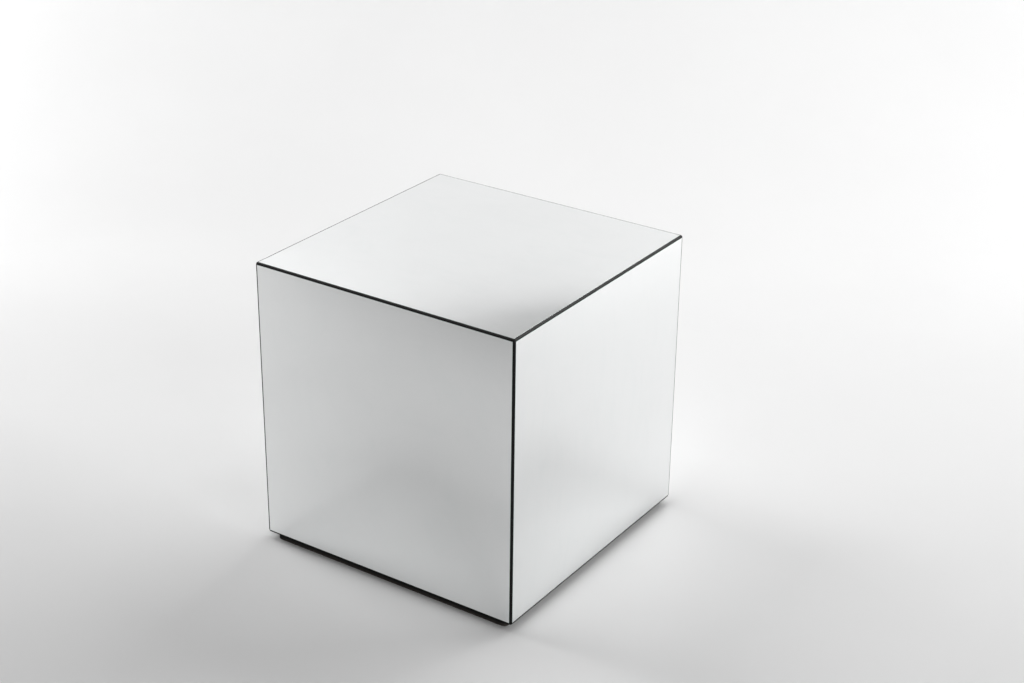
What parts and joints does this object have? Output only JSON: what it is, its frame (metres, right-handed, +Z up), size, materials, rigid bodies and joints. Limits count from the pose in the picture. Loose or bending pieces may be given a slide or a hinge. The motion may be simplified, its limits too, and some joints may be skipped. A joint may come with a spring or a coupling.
{
  "type": "mirrored cube side table",
  "caption": "Cube-shaped side table clad in plain mirror panes with rounded black seams, on a low set-back black plinth with felt under it",
  "frame": {"origin": "centre of the footprint on the floor, under the felt", "axes": "+Z up, -Y the front, +X the right side as seen from the front"},
  "size_m": [0.4, 0.4, 0.409],
  "materials": {
    "mirror_glass": "polished silvered glass with a faint cool tint",
    "safety_film": "grey film glued over the painted silvering",
    "mounting_tape": "white closed-cell foam with adhesive on both faces",
    "black_sealant": "smooth tooled black sealant with a soft sheen",
    "fibreboard": "raw medium-density fibreboard",
    "softwood": "planed, unfinished",
    "beech": "turned, unfinished",
    "zinc_steel": "bright zinc plate",
    "black_hardboard": "black-faced hardboard, low sheen",
    "black_paint": "fibreboard painted satin black",
    "felt": "dark grey pressed felt"
  },
  "bodies": {
    "root": {"top_mirror": "mirror_glass", "front_mirror": "mirror_glass", "right_mirror": "mirror_glass", "back_mirror": "mirror_glass", "left_mirror": "mirror_glass", "top_mirror_film": "safety_film", "front_mirror_film": "safety_film", "right_mirror_film": "safety_film", "back_mirror_film": "safety_film", "left_mirror_film": "safety_film", "top_mirror_tape": "mounting_tape", "front_mirror_tape": "mounting_tape", "right_mirror_tape": "mounting_tape", "back_mirror_tape": "mounting_tape", "left_mirror_tape": "mounting_tape", "top_front_seam": "black_sealant", "top_right_seam": "black_sealant", "top_back_seam": "black_sealant", "top_left_seam": "black_sealant", "front_right_seam": "black_sealant", "back_right_seam": "black_sealant", "back_left_seam": "black_sealant", "front_left_seam": "black_sealant", "top_board": "fibreboard", "front_board": "fibreboard", "right_board": "fibreboard", "back_board": "fibreboard", "left_board": "fibreboard", "bottom_board": "fibreboard", "front_right_post": "softwood", "back_right_post": "softwood", "back_left_post": "softwood", "front_left_post": "softwood", "board_dowels": "beech", "post_screws": "zinc_steel", "base_plate": "black_hardboard", "plinth_screws": "zinc_steel", "front_plinth_rail": "black_paint", "right_plinth_rail": "black_paint", "back_plinth_rail": "black_paint", "left_plinth_rail": "black_paint", "front_felt_strip": "felt", "right_felt_strip": "felt", "back_felt_strip": "felt", "left_felt_strip": "felt"}
  },
  "joints": []
}
